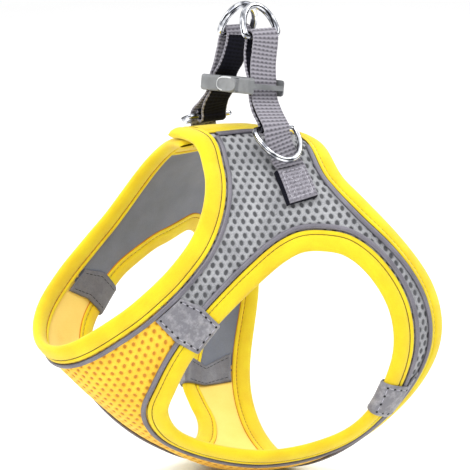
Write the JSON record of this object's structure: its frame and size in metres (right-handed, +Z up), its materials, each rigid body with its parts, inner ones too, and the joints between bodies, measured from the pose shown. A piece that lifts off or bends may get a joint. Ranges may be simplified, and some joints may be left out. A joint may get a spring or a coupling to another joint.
{
  "type": "dog vest harness",
  "caption": "Step-in dog vest of air mesh with padded-look edge binding, worn form held open, fastened back buckle, webbing risers and free leash rings.",
  "frame": {"origin": "inside the hollow, on the wearer's middle plane, where the wearer's back bears the cloth between the two risers", "axes": "+Z up, -Y towards the wearer's head, +X the wearer's left"},
  "size_m": [0.1612, 0.172, 0.2274],
  "materials": {
    "binding_yellow": "matte knit binding",
    "mesh_yellow": "air mesh over a pale lining",
    "mesh_grey": "air mesh over a grey lining",
    "piping_grey": "reflective piping tape",
    "vinyl_grey": "smooth reflective vinyl",
    "webbing_grey": "ribbed woven webbing",
    "ring_chrome": "polished",
    "buckle_plastic": "satin moulded"
  },
  "bodies": {
    "vest": {"wing_left": "mesh_grey", "wing_right": "mesh_grey", "chest_panel": "mesh_yellow", "neck_binding": "binding_yellow", "rear_binding": "binding_yellow", "armhole_binding_left": "binding_yellow", "armhole_binding_right": "binding_yellow", "wing_end_binding_left": "binding_yellow", "wing_end_binding_right": "binding_yellow", "neck_piping": "piping_grey", "rear_piping": "piping_grey", "armhole_piping_left": "piping_grey", "armhole_piping_right": "piping_grey", "wing_end_piping_left": "piping_grey", "tab_front_left": "vinyl_grey", "tab_front_right": "vinyl_grey", "tab_rear_left": "vinyl_grey", "tab_rear_right": "vinyl_grey", "webbing_patch_left": "webbing_grey", "webbing_patch_right": "webbing_grey", "strap_left": "webbing_grey", "strap_right": "webbing_grey", "buckle_plug": "buckle_plastic", "buckle_socket": "buckle_plastic"},
    "leash_ring_left": {"leash_ring_left": "ring_chrome"},
    "leash_ring_right": {"leash_ring_right": "ring_chrome"},
    "side_ring_left": {"side_ring_left": "ring_chrome"},
    "side_ring_right": {"side_ring_right": "ring_chrome"}
  },
  "joints": [
    {"name": "leash_ring_left_swing", "type": "hinge", "parent": "vest", "child": "leash_ring_left", "pos_m": [0.0106, 0.0044, 0.0514], "axis": [0, 1, 0], "range_deg": [-8, 135]},
    {"name": "leash_ring_right_swing", "type": "hinge", "parent": "vest", "child": "leash_ring_right", "pos_m": [-0.0106, 0.0044, 0.0514], "axis": [0, 1, 0], "range_deg": [-135, 8]},
    {"name": "side_ring_left_swing", "type": "hinge", "parent": "vest", "child": "side_ring_left", "pos_m": [0.0256, 0.0005, 0.0104], "axis": [0, 1, 0], "range_deg": [-100, 0]},
    {"name": "side_ring_right_swing", "type": "hinge", "parent": "vest", "child": "side_ring_right", "pos_m": [-0.0256, 0.0005, 0.0104], "axis": [0, 1, 0], "range_deg": [-30, 70]}
  ]
}
